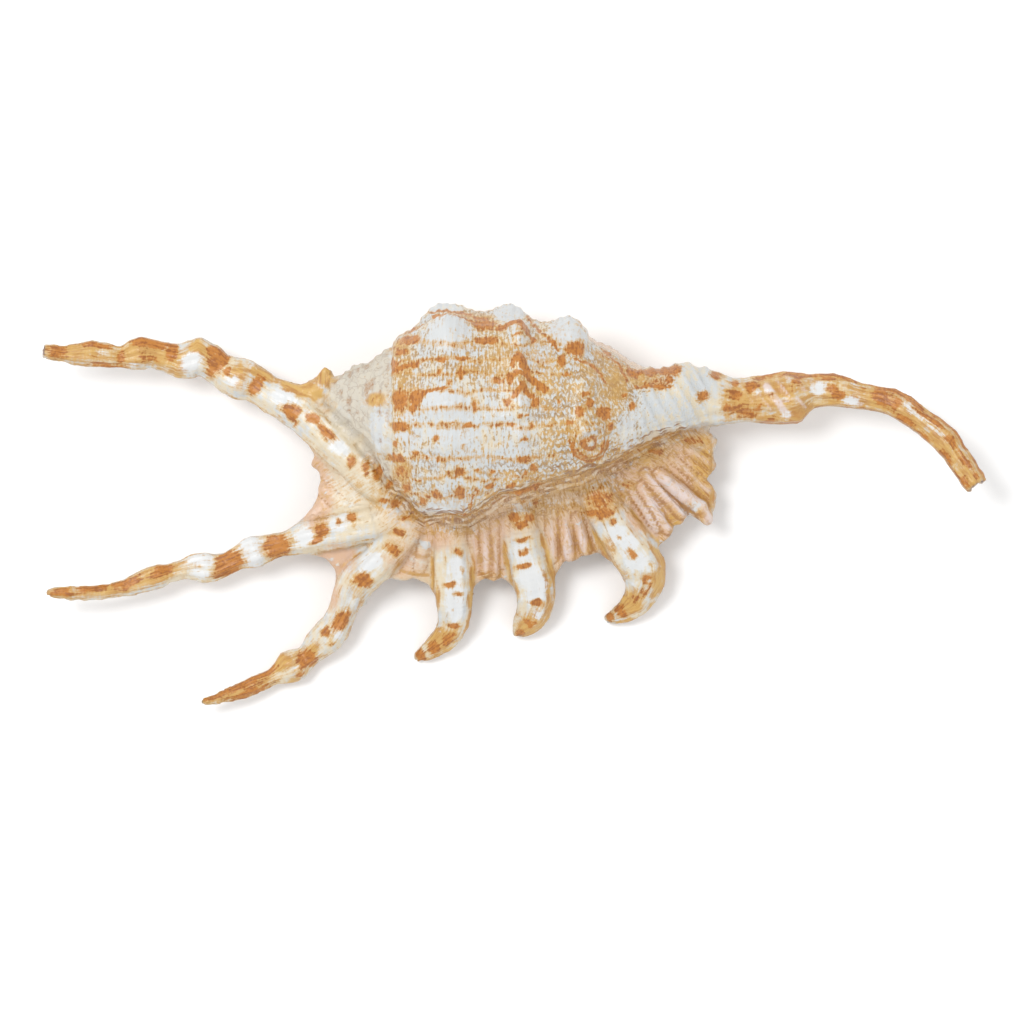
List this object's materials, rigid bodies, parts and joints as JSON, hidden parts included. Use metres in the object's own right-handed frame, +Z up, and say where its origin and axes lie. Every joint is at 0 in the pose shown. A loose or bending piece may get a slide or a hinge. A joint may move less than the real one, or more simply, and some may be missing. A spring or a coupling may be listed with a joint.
{
  "type": "spider conch shell",
  "caption": "Empty spider conch sea shell with a knobbed back, a narrow mouth beneath, long curved lip fingers and a curved siphonal canal.",
  "frame": {"origin": "on the resting surface, under the middle of the overall box", "axes": "+X from the spire towards the siphonal canal, +Y away from the fingered lip, +Z up through the knobbed back"},
  "size_m": [0.1574, 0.0674, 0.032],
  "materials": {
    "shell": "satin"
  },
  "bodies": {
    "root": {"shell": "shell"}
  },
  "joints": []
}
